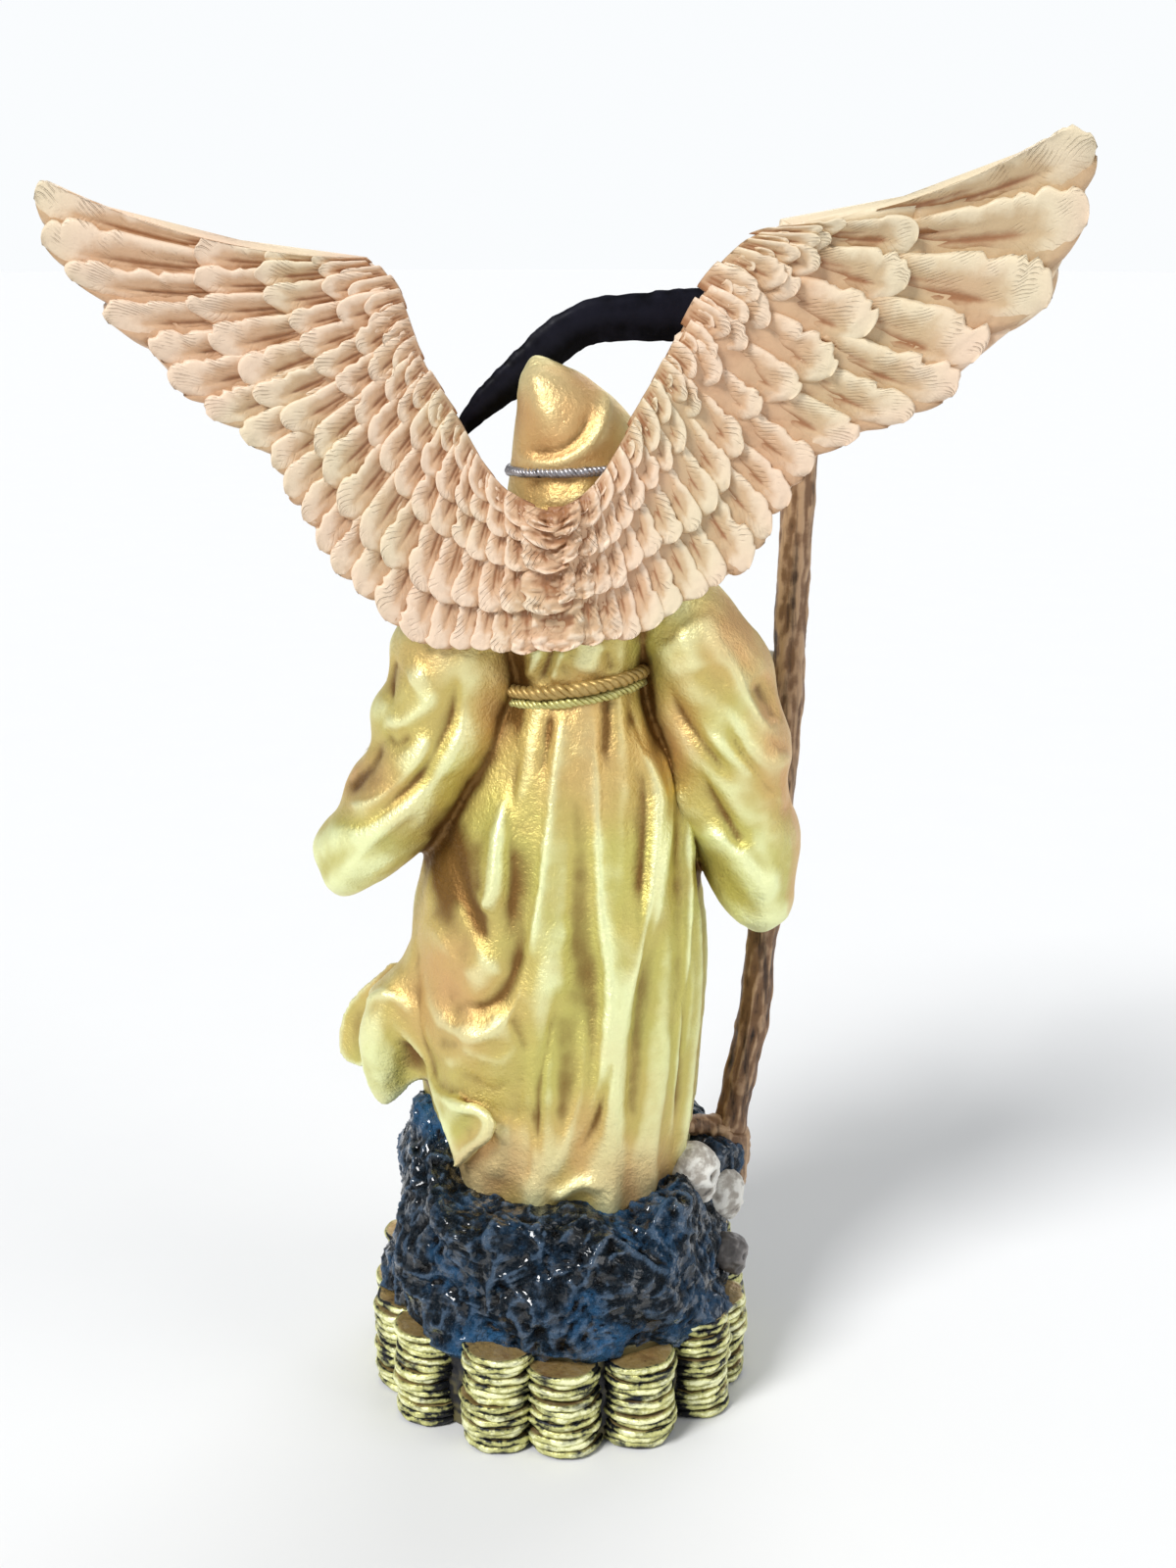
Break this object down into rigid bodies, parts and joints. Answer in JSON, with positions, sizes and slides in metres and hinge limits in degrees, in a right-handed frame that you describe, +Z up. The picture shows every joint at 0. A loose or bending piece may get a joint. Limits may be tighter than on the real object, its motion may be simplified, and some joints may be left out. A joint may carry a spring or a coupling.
{
  "type": "santa muerte figure",
  "caption": "Cast resin statuette of a hooded skeleton in a gold robe, with a scythe and raised feathered wings, standing on a black rock ringed with stacked coins.",
  "frame": {"origin": "centre of the base's underside, on the surface that the statuette stands on", "axes": "+Z up, -Y the way the figure faces, +X the figure's left"},
  "size_m": [0.2177, 0.0983, 0.2965],
  "materials": {
    "robe_gold": "gold metallic paint over cast resin, satin, with warmer bronze in the folds",
    "wing_resin": "bare cream resin, satin, with a darker wash between the feathers",
    "shaft_brown": "brown paint brushed as wood grain over resin",
    "blade_black": "gloss black paint over resin",
    "rock_black": "gloss black paint over rough cast resin",
    "coin_gold": "gold paint with black rubbed into the grooves",
    "bone_white": "off-white paint with black in the cracks",
    "trim_silver": "silver glitter paint"
  },
  "bodies": {
    "root": {"figure_and_base": "robe_gold", "wings": "wing_resin", "scythe": "shaft_brown"}
  },
  "joints": []
}
